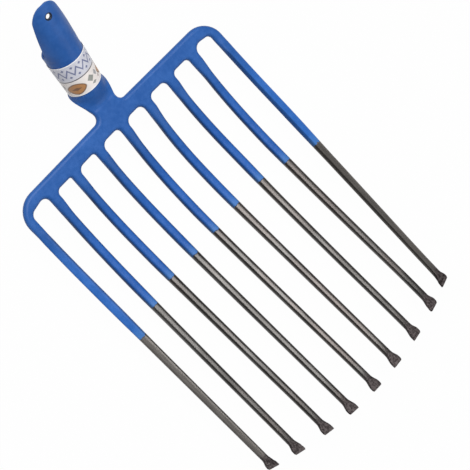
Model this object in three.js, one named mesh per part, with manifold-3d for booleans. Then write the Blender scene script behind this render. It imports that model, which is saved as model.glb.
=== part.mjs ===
// Gravel fork head: nine dished tines on a crossbar, with a rolled socket for a wooden handle.
// Units are millimetres and degrees. +X runs across the tines, +Y towards the handle, +Z up.
// The head lies as it rests on the ground: hollow side up, on the bellies of its middle tines.
// It is modelled round the middle of the slot ends and moved to its bottom centre at the end.

import * as THREE from 'three';
import { mergeVertices } from 'three/addons/utils/BufferGeometryUtils.js';
import Module from 'manifold-3d';

const wasm = await Module();
wasm.setup();

// Row of tines
const tineCount = 9;
const tinePitch = 37.5;
const tineReach = 406.1;
const tipArcRadius = 452;
const outerTineLean = 4.8;
const tipDropAtOuterTine = 6.4;
const bellyDepth = 24;
const bellyShares = [1, 0.97, 0.74, 0.53, 0.16];

// Side view of a tine: share of its length against share of its belly depth
const bellyProfileShares = [
  [0.025, 0.165], [0.065, 0.442], [0.104, 0.658], [0.182, 0.916], [0.3, 1.01],
  [0.417, 0.927], [0.573, 0.704], [0.73, 0.437], [0.886, 0.161], [1, 0],
];

// Tine sections
const rootWidth = 10.4;
const shaftDiameter = 9.8;
const shaftEndDiameter = 8.3;
const rootBlendLength = 26;
const seamLead = 2.5;
const bladeWidth = 13.4;
const bladeThickness = 3;
const bladeLength = 16;
const bladeParallelShare = 0.28;
const bladeCornerLength = 1.6;
const bladeCornerWidth = 1.8;
const cornerSteps = 3;

// The two outer tines are squarer, and rolled so that their upper side leans outwards
const outerSideShare = 0.88;
const outerCornerShare = 0.27;
const outerRoll = 25;

// Crossbar
const barWidth = 19.2;
const barThickness = 9.5;
const barTilt = 9.5;
const barEdgeRound = 4.6;
const barEdgeWall = 1.1;
const slotLeftRadius = 12.2;
const slotRightRadius = 9;
const outerSlotDepth = 3;
const outerSlotRadius = 14;
const shoulderRadius = 27;
const shoulderDrop = 1.6;
const tineSeam = -9.4;
const neckSeam = 27;
const neckWidth = 33.6;
const neckFilletRadius = 7.5;
const sawAllowance = 12;

// Socket, measured along its own axis from where that axis passes the crossbar's level
const socketLift = 30.5;
const socketAxisStart = 46;
const socketAxisLevel = -1.4;
const socketRadiusAtStart = 19.7;
const socketFlare = 0.04;
const socketWall = 3;
const tubeStart = 22;
const mouthStation = 71.5;
const tongueTipStation = 140;
const tongueShoulderStation = 127;
const tongueShoulderWidth = 33.8;
const tongueRootHeight = 2.2;
const tongueSlope = 0.265;
const tongueCornerRadius = 7;
const sheetEdgeRound = 1.2;
const sheetEdgeShare = 0.12;
const seamHalfAngle = 177.2;
const sheetSteps = 12;
const tongueColumns = 5;
const tubeRowShares = [0.16, 0.44, 0.72, 0.9];
const tongueCornerShares = [0.12, 0.35, 0.65, 1];
const tongueRowShares = [0.22, 0.44, 0.66, 0.86, 1];
const tongueTipTurns = [18, 35, 50, 64, 76, 85];
const screwHoleDiameter = 6.5;
const screwHoleStation = 123.8;

// Neck, row by row from its seam to the tube: roll of the sheet to each side in degrees, then
// its half width as a share of one that goes from the neck's to the tube's, then its thickness
// as a share of the bar's
const neckRollAngles = [0, 8, 26, 54, 88, 122, 148, 165, 174];
const neckHalfWidthShares = [1, 1.05, 1.09, 1.13, 1.13, 1.07, 0.985, 0.972, 0.962];
const neckThicknessShares = [1, 0.9, 0.76, 0.62, 0.5, 0.42, 0.36, 0.33, 0.32];
const neckFlatLength = 5;
const neckRiseShare = 0.42;

// Bare sleeve round the socket
const sleeveStart = 16.2;
const sleeveEnd = 59.8;
const sleeveThickness = 0.4;
const sleeveGap = 0.3;
const sleeveSides = 48;

const rad = THREE.MathUtils.degToRad;
const lerp = THREE.MathUtils.lerp;
const smooth = THREE.MathUtils.smoothstep;
const halfRow = (tineCount - 1) / 2;
const halfSpan = halfRow * tinePitch;
const barSlope = Math.tan(rad(barTilt));
const spanDivisions = 20;

const steelBlue = new THREE.MeshStandardMaterial({ color: 0x3464aa, roughness: 0.32, metalness: 0.1 });
const steelDark = new THREE.MeshStandardMaterial({ color: 0x5a5650, roughness: 0.45, metalness: 0.7 });
const paper = new THREE.MeshStandardMaterial({ color: 0xe9e6e4, roughness: 0.55, metalness: 0 });

// Joins a list of rings, each with the same number of points, into one closed skin.
function loft(rings, capPlane) {
  const count = rings[0].length;
  const positions = [];
  const index = [];
  for (const ring of rings) {
    for (const point of ring) positions.push(point.x, point.y, point.z);
  }
  for (let row = 0; row + 1 < rings.length; row += 1) {
    for (let i = 0; i < count; i += 1) {
      const j = (i + 1) % count;
      const a = row * count + i;
      const b = row * count + j;
      const c = a + count;
      const d = b + count;
      index.push(a, b, c, b, d, c);
    }
  }
  const last = (rings.length - 1) * count;
  const front = capPlane(rings[0]);
  const back = capPlane(rings[rings.length - 1]);
  const turned = THREE.ShapeUtils.area(front) < 0;
  for (const [a, b, c] of THREE.ShapeUtils.triangulateShape(front, [])) {
    if (turned) index.push(a, b, c);
    else index.push(a, c, b);
  }
  for (const [a, b, c] of THREE.ShapeUtils.triangulateShape(back, [])) {
    if (turned) index.push(last + a, last + c, last + b);
    else index.push(last + a, last + b, last + c);
  }
  const geometry = new THREE.BufferGeometry();
  geometry.setAttribute('position', new THREE.Float32BufferAttribute(positions, 3));
  geometry.setIndex(index);
  return facingOut(geometry);
}

// Turns a closed skin's triangles over where they face inwards.
function facingOut(geometry) {
  const position = geometry.getAttribute('position');
  const index = geometry.getIndex();
  const [a, b, c] = [new THREE.Vector3(), new THREE.Vector3(), new THREE.Vector3()];
  let volume = 0;
  for (let i = 0; i < index.count; i += 3) {
    a.fromBufferAttribute(position, index.getX(i));
    b.fromBufferAttribute(position, index.getX(i + 1));
    c.fromBufferAttribute(position, index.getX(i + 2));
    volume += a.dot(b.cross(c));
  }
  if (volume < 0) {
    for (let i = 0; i < index.count; i += 3) {
      const keep = index.getX(i);
      index.setX(i, index.getX(i + 1));
      index.setX(i + 1, keep);
    }
  }
  return geometry;
}

// Manifold solids for cuts
function toSolid(source) {
  const geometry = source.clone();
  geometry.deleteAttribute('normal');
  geometry.deleteAttribute('uv');
  const merged = mergeVertices(geometry, 1e-4);
  return new wasm.Manifold(new wasm.Mesh({
    numProp: 3,
    vertProperties: new Float32Array(merged.getAttribute('position').array),
    triVerts: new Uint32Array(merged.getIndex().array),
  }));
}

function toGeometry(solid) {
  const mesh = solid.getMesh();
  const geometry = new THREE.BufferGeometry();
  const points = [];
  for (let i = 0; i < mesh.numVert; i += 1) {
    const at = i * mesh.numProp;
    points.push(mesh.vertProperties[at], mesh.vertProperties[at + 1], mesh.vertProperties[at + 2]);
  }
  geometry.setAttribute('position', new THREE.Float32BufferAttribute(points, 3));
  geometry.setIndex(Array.from(mesh.triVerts));
  return geometry;
}

// Section of a bar with four rounded corners, anticlockwise seen from its end
function roundedSection(width, height, roundX, roundZ) {
  const points = [];
  const flat = width / 2 - roundX;
  const wall = height / 2 - roundZ;
  const corners = [[1, 1], [-1, 1], [-1, -1], [1, -1]];
  for (const [sideX, sideZ] of corners) {
    for (let step = 0; step <= cornerSteps; step += 1) {
      const turn = (sideX * sideZ > 0 ? cornerSteps - step : step) * (Math.PI / 2 / cornerSteps);
      const x = flat + roundX * Math.sin(turn);
      const z = wall + roundZ * Math.cos(turn);
      points.push([sideX * x, sideZ * z]);
    }
  }
  return points;
}

// One tine: a shaft swept down its dished centre line, drawn out to a thin square blade
function makeTine(place) {
  const side = Math.sign(place);
  const rank = Math.abs(place);
  const outer = rank === halfRow ? 1 : 0;
  const rootX = place * tinePitch;
  const tipX = rootX - side * outer * outerTineLean;
  const reach = tineReach - (tipArcRadius - Math.sqrt(tipArcRadius ** 2 - tipX ** 2));
  const trim = Math.asin(tipX / tipArcRadius);
  const depth = bellyDepth * bellyShares[rank];
  const tipZ = -tipDropAtOuterTine * (rank / halfRow) ** 2;
  const start = new THREE.Vector3(rootX, tineSeam, tineSeam * barSlope);
  const length = reach + tineSeam;
  const leadStep = new THREE.Vector3(0, -seamLead, -seamLead * barSlope);
  const knots = [start.clone().sub(leadStep), start, start.clone().add(leadStep)];
  for (const [along, deep] of bellyProfileShares) {
    const x = lerp(rootX, tipX, along);
    const y = tineSeam - length * along;
    const z = lerp(start.z, tipZ + start.z, along) - depth * deep;
    knots.push(new THREE.Vector3(x, y, z));
  }
  const line = new THREE.CatmullRomCurve3(knots, false, 'centripetal');
  line.arcLengthDivisions = spanDivisions * (knots.length - 1);
  const lengths = line.getLengths();
  const lead = lengths[spanDivisions];
  const total = lengths[lengths.length - 1] - lead;
  const stations = tineStations(total);
  const rings = stations.map((distance, row) => {
    const share = Math.min(distance / total, 1);
    const onLine = Math.min((lead + distance) / (lead + total), 1);
    const centre = row === 0 ? start : line.getPointAt(onLine);
    const ahead = line.getTangentAt(onLine);
    const across = new THREE.Vector3(1, 0, 0);
    const up = new THREE.Vector3(0, -ahead.z, ahead.y).multiplyScalar(Math.sign(ahead.y)).normalize();
    if (row === 0) up.set(0, 0, 1);
    const left = total - distance;
    const shaft = lerp(shaftDiameter, shaftEndDiameter, smooth(share, 0.35, 0.95));
    const root = 1 - smooth(distance, 0, rootBlendLength);
    const blade = 1 - smooth(left, bladeLength * bladeParallelShare, bladeLength);
    const thin = 1 - smooth(left, 0, bladeLength * 1.5);
    const nose = 1 - smooth(left, 0, bladeCornerLength);
    const squared = outer * (1 - root) * (1 - thin);
    const shaftSide = shaft * lerp(1, outerSideShare, squared);
    let width = lerp(lerp(shaftSide, rootWidth, root), bladeWidth, blade);
    width -= nose * bladeCornerWidth;
    const height = lerp(lerp(shaftSide, barThickness, root), bladeThickness, thin);
    const shaftRound = lerp(0.46, outerCornerShare, squared);
    const roundX = lerp(lerp(width * shaftRound, barEdgeRound, root), bladeThickness * 0.45, blade);
    const rootRound = (height - barEdgeWall) / 2;
    const roundZ = lerp(lerp(height * shaftRound, rootRound, root), height * 0.4, thin);
    const shear = Math.tan(trim) * blade;
    const roll = rad(outerRoll) * squared * side;
    return roundedSection(width, height, roundX, roundZ).map(([x, z]) => {
      const rolledX = x * Math.cos(roll) + z * Math.sin(roll);
      const rolledZ = z * Math.cos(roll) - x * Math.sin(roll);
      const point = centre.clone().addScaledVector(across, rolledX).addScaledVector(up, rolledZ);
      point.y += x * shear;
      return point;
    });
  });
  const flat = (ring) => ring.map((point) => new THREE.Vector2(point.x, point.z));
  return loft(rings, flat);
}

// Distances along a tine: close together where it bends and where it spreads
function tineStations(total) {
  const shares = [0, 0.012, 0.025, 0.04, 0.058, 0.08, 0.11, 0.145, 0.185, 0.23, 0.28, 0.33];
  shares.push(0.39, 0.46, 0.54, 0.63, 0.73, 0.83, 0.9);
  const nearShares = [1.5, 1, 0.76, 0.52, bladeParallelShare];
  const near = nearShares.map((share) => total - share * bladeLength);
  return [...shares.map((share) => share * total), ...near, total - bladeCornerLength, total];
}

// Crossbar: its outline with slots, stubs and shoulders, rounded all round its edge
function crossbarOutline() {
  const shape = new THREE.Shape();
  const half = rootWidth / 2;
  const edge = halfSpan + half;
  const low = tineSeam - sawAllowance;
  const high = neckSeam + sawAllowance;
  const neck = neckWidth / 2;
  const quarter = Math.PI / 2;
  shape.moveTo(-edge, low);
  shape.lineTo(-edge + rootWidth, low);
  for (let slot = 0; slot < tineCount - 1; slot += 1) {
    const left = -halfSpan + slot * tinePitch + half;
    const right = left + tinePitch - rootWidth;
    const first = slot === 0;
    const last = slot === tineCount - 2;
    const end = first || last ? outerSlotDepth : 0;
    const leftRound = first ? outerSlotRadius : slotLeftRadius;
    const rightRound = last ? outerSlotRadius : slotRightRadius;
    shape.lineTo(left, end - leftRound);
    shape.absarc(left + leftRound, end - leftRound, leftRound, 2 * quarter, quarter, true);
    shape.lineTo(right - rightRound, end);
    shape.absarc(right - rightRound, end - rightRound, rightRound, quarter, 0, true);
    shape.lineTo(right, low);
    shape.lineTo(right + rootWidth, low);
  }
  const shoulderX = edge - shoulderRadius;
  const shoulderY = barWidth - shoulderDrop - shoulderRadius;
  shape.lineTo(edge, shoulderY);
  shape.absarc(shoulderX, shoulderY, shoulderRadius, 0, quarter, false);
  shape.lineTo(neck + neckFilletRadius, barWidth);
  const filletY = barWidth + neckFilletRadius;
  shape.absarc(neck + neckFilletRadius, filletY, neckFilletRadius, 3 * quarter, 2 * quarter, true);
  shape.lineTo(neck, high);
  shape.lineTo(-neck, high);
  shape.lineTo(-neck, filletY);
  shape.absarc(-neck - neckFilletRadius, filletY, neckFilletRadius, 0, -quarter, true);
  shape.lineTo(-shoulderX, shoulderY + shoulderRadius);
  shape.absarc(-shoulderX, shoulderY, shoulderRadius, quarter, 2 * quarter, false);
  return shape;
}

// A block between two stations of Y, wide and tall enough to cut the whole bar
function sawBlock(fromY, toY) {
  const block = new THREE.BoxGeometry(4 * halfSpan, Math.abs(toY - fromY), 12 * barThickness);
  block.translate(0, (fromY + toY) / 2, 0);
  return toSolid(block);
}

function makeCrossbar() {
  const bar = new THREE.ExtrudeGeometry(crossbarOutline(), {
    depth: barEdgeWall,
    steps: 1,
    curveSegments: 5,
    bevelEnabled: true,
    bevelThickness: (barThickness - barEdgeWall) / 2,
    bevelSize: barEdgeRound,
    bevelOffset: -barEdgeRound,
    bevelSegments: cornerSteps,
  });
  bar.translate(0, 0, -barEdgeWall / 2);
  bar.rotateX(rad(barTilt));
  const solid = toSolid(bar)
    .subtract(sawBlock(tineSeam, tineSeam - 4 * sawAllowance))
    .subtract(sawBlock(neckSeam, neckSeam + 4 * sawAllowance));
  return toGeometry(solid);
}

// Socket axis: a point at a station, and the directions along it and square to it
const along = new THREE.Vector3(0, Math.cos(rad(socketLift)), Math.sin(rad(socketLift)));
const square = new THREE.Vector3(0, -Math.sin(rad(socketLift)), Math.cos(rad(socketLift)));
const axisOrigin = new THREE.Vector3(0, socketAxisStart, socketAxisLevel);

function socketRadius(station) {
  return socketRadiusAtStart + socketFlare * station;
}

function socketPoint(station, x, height) {
  const point = axisOrigin.clone().addScaledVector(along, station).addScaledVector(square, height);
  point.x = x;
  return point;
}

// The socket is one sheet. A row crosses the sheet at a station and is bent to an arc.
// Its columns run from the middle to each edge: [share of the half sheet, share of thickness].
const sheetColumns = sheetShares();
const edgeColumns = cornerSteps;
const lastColumn = sheetColumns.length - 1;

function sheetShares() {
  const shares = [];
  for (let i = 0; i <= sheetSteps; i += 1) shares.push([i / sheetSteps, 0]);
  for (let i = 1; i <= cornerSteps; i += 1) shares.push([1, (i / cornerSteps) * (Math.PI / 2)]);
  return shares;
}

// One row: top point, upward direction, half width, roll to each side, thickness, edge round
function sheetRow({ top, up, halfWidth, roll, thickness, edgeRound, span = lastColumn, tongue = 0 }) {
  const angle = Math.max(rad(roll), 1e-3);
  const middle = angle < Math.PI / 2 ? halfWidth / Math.sin(angle) : halfWidth;
  const flat = middle * angle - edgeRound;
  const tongueFlat = middle * tongue;
  const point = (reach, lift) => {
    const bend = reach / middle;
    const height = Math.cos(bend) * (middle + lift) - middle - thickness / 2;
    const place = top.clone().addScaledVector(up, height);
    place.x = Math.sin(bend) * (middle + lift);
    return place;
  };
  const outer = [];
  const inner = [];
  for (let column = -lastColumn; column <= lastColumn; column += 1) {
    const [share, turn] = sheetColumns[Math.abs(column)];
    let reach = flat * share + edgeRound * Math.sin(turn);
    if (tongue > 0 && Math.abs(column) <= tongueColumns) {
      reach = tongueFlat * (Math.abs(column) / tongueColumns);
    } else if (tongue > 0 && turn === 0) {
      const past = (Math.abs(column) - tongueColumns) / (sheetSteps - tongueColumns);
      reach = lerp(tongueFlat, flat, past);
    }
    const half = (thickness / 2) * lerp(sheetEdgeShare, 1, Math.cos(turn));
    outer.push(point(Math.sign(column) * reach, half));
    inner.push(point(Math.sign(column) * reach, -half));
  }
  return { outer, inner, span };
}

// Skin of a sheet given by its rows: a row's span tells how many columns go on past it
function sheetSkin(rows) {
  const count = 2 * lastColumn + 1;
  const positions = [];
  for (const { outer, inner } of rows) {
    for (const place of [...outer, ...inner]) positions.push(place.x, place.y, place.z);
  }
  const at = (row, column, under) => (row * 2 + under) * count + column + lastColumn;
  const filled = (row, column) => {
    if (row < 0 || row + 1 >= rows.length) return false;
    return column >= -rows[row].span && column < rows[row].span;
  };
  const index = [];
  for (let row = 0; row + 1 < rows.length; row += 1) {
    for (let column = -rows[row].span; column < rows[row].span; column += 1) {
      const loop = [[row, column], [row, column + 1], [row + 1, column + 1], [row + 1, column]];
      const [a, b, c, d] = loop.map(([r, k]) => at(r, k, 0));
      const [e, f, g, h] = loop.map(([r, k]) => at(r, k, 1));
      index.push(a, b, c, a, c, d);
      index.push(e, g, f, e, h, g);
      if (!filled(row - 1, column)) index.push(a, e, f, a, f, b);
      if (!filled(row, column + 1)) index.push(b, f, g, b, g, c);
      if (!filled(row + 1, column)) index.push(c, g, h, c, h, d);
      if (!filled(row, column - 1)) index.push(d, h, e, d, e, a);
    }
  }
  const geometry = new THREE.BufferGeometry();
  geometry.setAttribute('position', new THREE.Float32BufferAttribute(positions, 3));
  geometry.setIndex(index);
  return facingOut(mergedSkin(geometry));
}

// Half angle of the tongue: a straight taper in side view, then a round end in top view
function tongueAngle(station) {
  const radius = socketRadius(station);
  const past = station - mouthStation;
  const corner = Math.max(0, tongueCornerRadius - past);
  const fillet = tongueCornerRadius - Math.sqrt(tongueCornerRadius ** 2 - corner ** 2);
  const height = tongueRootHeight + tongueSlope * past - fillet;
  const side = Math.acos(THREE.MathUtils.clamp(height / radius, -1, 1));
  if (station <= tongueShoulderStation) return side;
  const turn = (station - tongueShoulderStation) / (tongueTipStation - tongueShoulderStation);
  const half = (tongueShoulderWidth / 2) * Math.sqrt(Math.max(0, 1 - turn ** 2));
  return Math.min(side, Math.asin(half / radius));
}

// Socket sheet: flat at the neck, rolled to a tube, with its butt seam underneath
function makeSocket() {
  const halfNeck = neckWidth / 2;
  const halfTube = socketRadius(tubeStart) - socketWall / 2;
  const seamTop = neckSeam * barSlope + barThickness / 2 / Math.cos(rad(barTilt));
  const tubeTop = socketPoint(tubeStart, 0, socketRadius(tubeStart));
  const riseTop = socketPoint(tubeStart * neckRiseShare, 0, socketRadius(tubeStart * neckRiseShare));
  const flatTop = seamTop + neckFlatLength * barSlope;
  const path = new THREE.CatmullRomCurve3([
    new THREE.Vector3(0, neckSeam, seamTop),
    new THREE.Vector3(0, neckSeam + neckFlatLength, flatTop),
    riseTop,
    tubeTop,
  ], false, 'centripetal');
  const rows = [];
  const last = neckRollAngles.length - 1;
  for (let i = 0; i <= last; i += 1) {
    const share = i / last;
    const ahead = path.getTangentAt(share);
    const tilt = Math.atan2(ahead.z, ahead.y) * smooth(share, 0, 0.3);
    const angle = lerp(tilt, rad(socketLift), smooth(share, 0.5, 1));
    rows.push(sheetRow({
      top: path.getPointAt(share),
      up: new THREE.Vector3(0, -Math.sin(angle), Math.cos(angle)),
      halfWidth: lerp(halfNeck, halfTube, smooth(share, 0, 0.5)) * neckHalfWidthShares[i],
      roll: neckRollAngles[i],
      thickness: barThickness * neckThicknessShares[i],
      edgeRound: lerp(barEdgeRound, sheetEdgeRound, smooth(share, 0, 0.5)),
    }));
  }
  const tubeRow = (station, span, tongue) => sheetRow({
    top: socketPoint(station, 0, socketRadius(station)),
    up: square,
    halfWidth: socketRadius(station) - socketWall / 2,
    roll: seamHalfAngle,
    thickness: socketWall,
    edgeRound: sheetEdgeRound,
    span,
    tongue,
  });
  for (const share of tubeRowShares) {
    rows.push(tubeRow(lerp(tubeStart, mouthStation, share), lastColumn, 0));
  }
  rows.push(tubeRow(mouthStation, tongueColumns, tongueAngle(mouthStation)));
  for (const share of tongueCornerShares) {
    const station = mouthStation + tongueCornerRadius * share;
    rows.push(tubeRow(station, tongueColumns, tongueAngle(station)));
  }
  for (const share of tongueRowShares) {
    const station = lerp(mouthStation + tongueCornerRadius, tongueShoulderStation, share);
    rows.push(tubeRow(station, tongueColumns, tongueAngle(station)));
  }
  for (const turn of tongueTipTurns) {
    const station = lerp(tongueShoulderStation, tongueTipStation, Math.sin(rad(turn)));
    rows.push(tubeRow(station, tongueColumns, tongueAngle(station)));
  }
  return toGeometry(toSolid(sheetSkin(rows)).subtract(screwHole()));
}

// Places a shape drawn on the socket's axis: drawn X along the axis, drawn Y square to it
function alongSocket(geometry) {
  const basis = new THREE.Matrix4().makeBasis(along, square, new THREE.Vector3(1, 0, 0));
  basis.setPosition(axisOrigin);
  return geometry.applyMatrix4(basis);
}

function screwHole() {
  const radius = socketRadius(screwHoleStation);
  const drill = new THREE.CylinderGeometry(screwHoleDiameter / 2, screwHoleDiameter / 2, radius, 20);
  drill.translate(screwHoleStation, radius, 0);
  return toSolid(alongSocket(drill));
}

// Thin sleeve round the socket
function makeSleeve() {
  const inner = (station) => socketRadius(station) + sleeveGap;
  const profile = [
    new THREE.Vector2(inner(sleeveStart), sleeveStart),
    new THREE.Vector2(inner(sleeveStart) + sleeveThickness, sleeveStart),
    new THREE.Vector2(inner(sleeveEnd) + sleeveThickness, sleeveEnd),
    new THREE.Vector2(inner(sleeveEnd), sleeveEnd),
    new THREE.Vector2(inner(sleeveStart), sleeveStart),
  ];
  const sleeve = new THREE.LatheGeometry(profile, sleeveSides);
  sleeve.rotateZ(-Math.PI / 2);
  return facingOut(mergedSkin(alongSocket(sleeve)));
}

function mergedSkin(source) {
  const geometry = source.clone();
  geometry.deleteAttribute('normal');
  geometry.deleteAttribute('uv');
  return mergeVertices(geometry, 1e-4);
}

function named(name, geometry, material) {
  geometry.computeVertexNormals();
  const mesh = new THREE.Mesh(geometry, material);
  mesh.name = name;
  return mesh;
}

const fork = new THREE.Group();
fork.add(named('crossbar', makeCrossbar(), steelBlue));
for (let number = 1; number <= tineCount; number += 1) {
  fork.add(named(`tine_${number}`, makeTine(number - 1 - halfRow), steelDark));
}
fork.add(named('socket', makeSocket(), steelBlue));
fork.add(named('sleeve', makeSleeve(), paper));

// The frame's origin is the bottom centre of the whole head
const box = new THREE.Box3().setFromObject(fork);
const middle = box.getCenter(new THREE.Vector3());
fork.position.set(-middle.x, -middle.y, -box.min.z);
fork.updateMatrixWorld(true);

export default fork;
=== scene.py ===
"""Gravel fork head: nine dished tines on a crossbar, and a rolled socket with a tongue.

The bench is in metres. MM turns the shop's millimetres into them. Pieces are modelled round
the middle of the slot ends, as the bar is, and then set down at SLOTS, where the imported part
has that point.
"""

import math

import bmesh
import bpy
from mathutils import Matrix, Vector


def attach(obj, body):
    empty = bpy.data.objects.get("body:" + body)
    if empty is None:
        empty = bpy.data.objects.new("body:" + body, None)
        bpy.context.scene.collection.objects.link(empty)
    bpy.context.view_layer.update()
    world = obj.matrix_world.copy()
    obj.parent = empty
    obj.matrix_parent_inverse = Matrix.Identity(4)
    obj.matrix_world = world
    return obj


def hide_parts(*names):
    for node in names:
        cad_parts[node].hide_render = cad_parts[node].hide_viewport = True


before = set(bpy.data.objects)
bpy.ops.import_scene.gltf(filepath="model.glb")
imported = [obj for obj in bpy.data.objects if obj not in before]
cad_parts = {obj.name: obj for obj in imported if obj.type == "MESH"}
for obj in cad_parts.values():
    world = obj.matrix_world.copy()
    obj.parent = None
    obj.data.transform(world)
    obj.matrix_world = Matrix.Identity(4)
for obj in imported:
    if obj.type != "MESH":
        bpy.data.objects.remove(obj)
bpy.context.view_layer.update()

MM = 0.001
SLOTS = Vector((0, 125.4701, 30.6134)) * MM

# Row of tines: how far the middle one reaches, the arc that all of them end on, and how far
# the outer ones lean in and end lower
TINES = 9
PITCH = 37.5
HALF_SPAN = (TINES - 1) / 2 * PITCH
REACH = 406.1
TIP_ARC = 452
OUTER_LEAN = 4.8
TIP_DROP = 6.4
TINE_SEAM = -9.4

# Bellies: the deepest one, each tine's share of it from the middle one outwards, and their
# curve, as shares of the length and of the depth
BELLY = 24
BELLY_SHARES = [1, 0.97, 0.74, 0.53, 0.16]
BELLY_PROFILE = [
    (0.025, 0.165), (0.065, 0.442), (0.104, 0.658), (0.182, 0.916), (0.3, 1.01),
    (0.417, 0.927), (0.573, 0.704), (0.73, 0.437), (0.886, 0.161), (1, 0),
]

# How each tine was forged and dipped: how wide its root is, how far it sways to the right of
# its straight line at these shares of its length, and where its enamel ends
ROOT_WIDTHS = [11.3, 12.4, 11.9, 12.2, 12.1, 12.6, 12.6, 13.4, 11.3]
SWAY_SHARES = [0, 0.05, 0.15, 0.3, 0.48, 0.67, 0.86, 1]
SWAYS = [
    [0.45, 0.3, 0, 0, 0, -0.1, -0.15, -0.15],
    [1.3, 0.95, 1.05, 0.7, 0.5, 0.2, -0.2, -0.2],
    [-1.4, -1.15, -0.6, -0.15, 0.35, 0.6, 1.0, 1.0],
    [-1.1, -0.4, 1.0, 1.45, 1.3, 0.85, 0.15, 0.1],
    [0.25, 0.25, 0.5, 0, 0.25, 0.3, 0.3, 0.3],
    [0.8, 0.4, 0, -0.05, 0.25, 0, -0.5, -0.5],
    [1.0, 0.65, 1.05, 1.45, 0.9, 0.55, 0.6, 0.6],
    [0.9, 0.85, -0.2, -0.95, -0.65, 0.35, 1.6, 1.7],
    [-0.45, -0.2, 0.1, 0.6, 0.4, -0.2, -0.95, -0.95],
]
PAINT_END = [-178.8, -165.4, -158.2, -159.5, -158.3, -154.7, -155.3, -160.7, -170.3]

# A tine's shaft: its taper runs over these shares of the length, and the dipped part is wider
# by COAT, which runs out over these distances from the seam
SHAFT = 9.8
SHAFT_END = 8.45
SHAFT_TAPER = (0.35, 0.95)
COAT = 0.95
COAT_ENDS = (120, 185)
SHAFT_STEP = 12
SHAFT_ROWS_END = 26
# Its root: how far it takes to blend into the shaft, how far the blank first stands into the
# bar, and how much of the centre line is kept on either side of the seam
ROOT_BLEND = 26
ROOT_ROWS = [3, 6, 9, 12, 15, 18, 21, 24, 27]
BLANK_STEPS = 5
INTO_BAR = 6
SEAM_LEAD = 2.5
# Its blade: drawn thin over BLADE_DRAW, its two halves spread apart, its sides nearly half
# round (BLADE_SIDES is their width over the thickness), and its corners cut back by
# BLADE_CORNER. The rows are distances from its edge
BLADE_WIDTH = 13.4
BLADE_PARALLEL = 0.28
BLADE_THICKNESS = 3
BLADE_LENGTH = 16
BLADE_DRAW = 24
BLADE_CORNER = 1.8
BLADE_CORNER_LENGTH = 1.6
BLADE_SIDES = 1.1
BLADE_ROWS = [15, 13, 11, 9.5, 8, 6.5, 5, 3.5, 2.4, 1.2, 0.5, 0]
DRAWN_ROWS = [24, 20, 17, *BLADE_ROWS]
# Places along a centre line, and how far off its row a point may be and still belong to it
LINE_POINTS = 240
ROW_SLACK = 0.2

# The two outer tines have a flatter, squarish section, rolled outwards. For the painted shade on
# their sides, their flat side is taken to face this far to the right for 1 upwards
OUTER_WIDE = 0.99
OUTER_THIN = 0.68
OUTER_SQUARENESS = 5
OUTER_ROLL = math.radians(25)
OUTER_PAINTED_SHADE_FACING = {1: -0.8, TINES: 0.55}

# Crossbar. SPARE is the stock that stands past each cut
BAR_WIDTH = 19.2
BAR_THICKNESS = 9.5
BAR_TILT = math.radians(9.5)
BAR_END_DROP = 1.6
SHOULDER = 27
NECK_SEAM = 27
NECK_WIDTH = 33.6
NECK_FILLET = 7.5
EDGE_ROUND = 4.4
FLAT_RIM = 0.35
CORNER_STEPS = 10
EDGE_STEPS = 7
SPARE = 12
# Each slot's end: how far back its left and right corners are, and how round they are
SLOT_ENDS = [
    (-0.2, 5.1, 6.5, 10), (-1.4, -1.4, 6.2, 3), (-1.6, -1.0, 7.8, 4.5), (-0.7, -0.7, 8.7, 6),
    (-0.4, -0.4, 9, 7.8), (-0.1, -0.5, 7, 7), (-0.9, -1.1, 6, 6), (3.3, -0.5, 11, 5.5),
]

# Socket, along its own axis, from AXIS_START
LIFT = math.radians(30.5)
AXIS_START = Vector((0, 46, -1.4))
ALONG = Vector((0, math.cos(LIFT), math.sin(LIFT)))
SQUARE = Vector((0, -math.sin(LIFT), math.cos(LIFT)))
RADIUS = 19.7
FLARE = 0.04
WALL = 3
TUBE_START = 22
TUBE_ROWS = (28, 38, 48, 58, 65)
BEFORE_MOUTH = 69
BEFORE_MOUTH_SHARE = 0.6
MOUTH = 71.5
MOUTH_LIP = 1.2
SEAM_ANGLE = 177.2

# Tongue: it leaves the mouth with a fillet, widens evenly and ends round. TONGUE_ROWS are
# past the mouth, TIP_TURNS round the tip
TONGUE_SHOULDER = 127
TONGUE_TIP = 140
TONGUE_WIDTH = 33.8
TONGUE_ROOT = 2.2
TONGUE_SLOPE = 0.265
TONGUE_FILLET = 7
TONGUE_SHARES = [0, 0.13, 0.26, 0.39, 0.52, 0.64, 0.76, 0.87, 0.955, 1]
TONGUE_ROWS = (0.6, 1.4, 2.6, 4.2, 7, 11, 16, 23, 31, 39, 47, 52)
TIP_TURNS = (20, 40, 56, 69, 79)
# Screw hole: its place along the axis, and the cone that breaks its upper edge
HOLE = 123.8
HOLE_ACROSS = 6
SINK_WIDE = 9
SINK_NARROW = 5
SINK_DEPTH = 2
SINK_SET = 0.4
DRILL_SIDES = 40

# Neck, row by row from the crossbar: the sheet's roll in degrees, and its width and thickness
# as shares of a plain change from bar to tube
NECK_ROLL = [0, 8, 26, 54, 88, 122, 148, 165, 174]
NECK_WIDTHS = [1, 1.05, 1.09, 1.13, 1.13, 1.07, 0.985, 0.972, 0.962]
NECK_THICKNESS = [1, 0.9, 0.76, 0.62, 0.5, 0.42, 0.36, 0.33, 0.32]
NECK_FLAT_END = 5
NECK_LANDING = 0.42
NECK_POINTS = 160
NECK_SPARE_ROWS = (8, 3)
NECK_EXTRA_ROW = 0.4
# The shares of the neck over which its slope first follows its path and then turns into the
# tube's, and over which it widens
NECK_FOLLOW = (0, 0.3)
NECK_RISE = (0.5, 1)
NECK_WIDEN = (0, 0.5)

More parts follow.
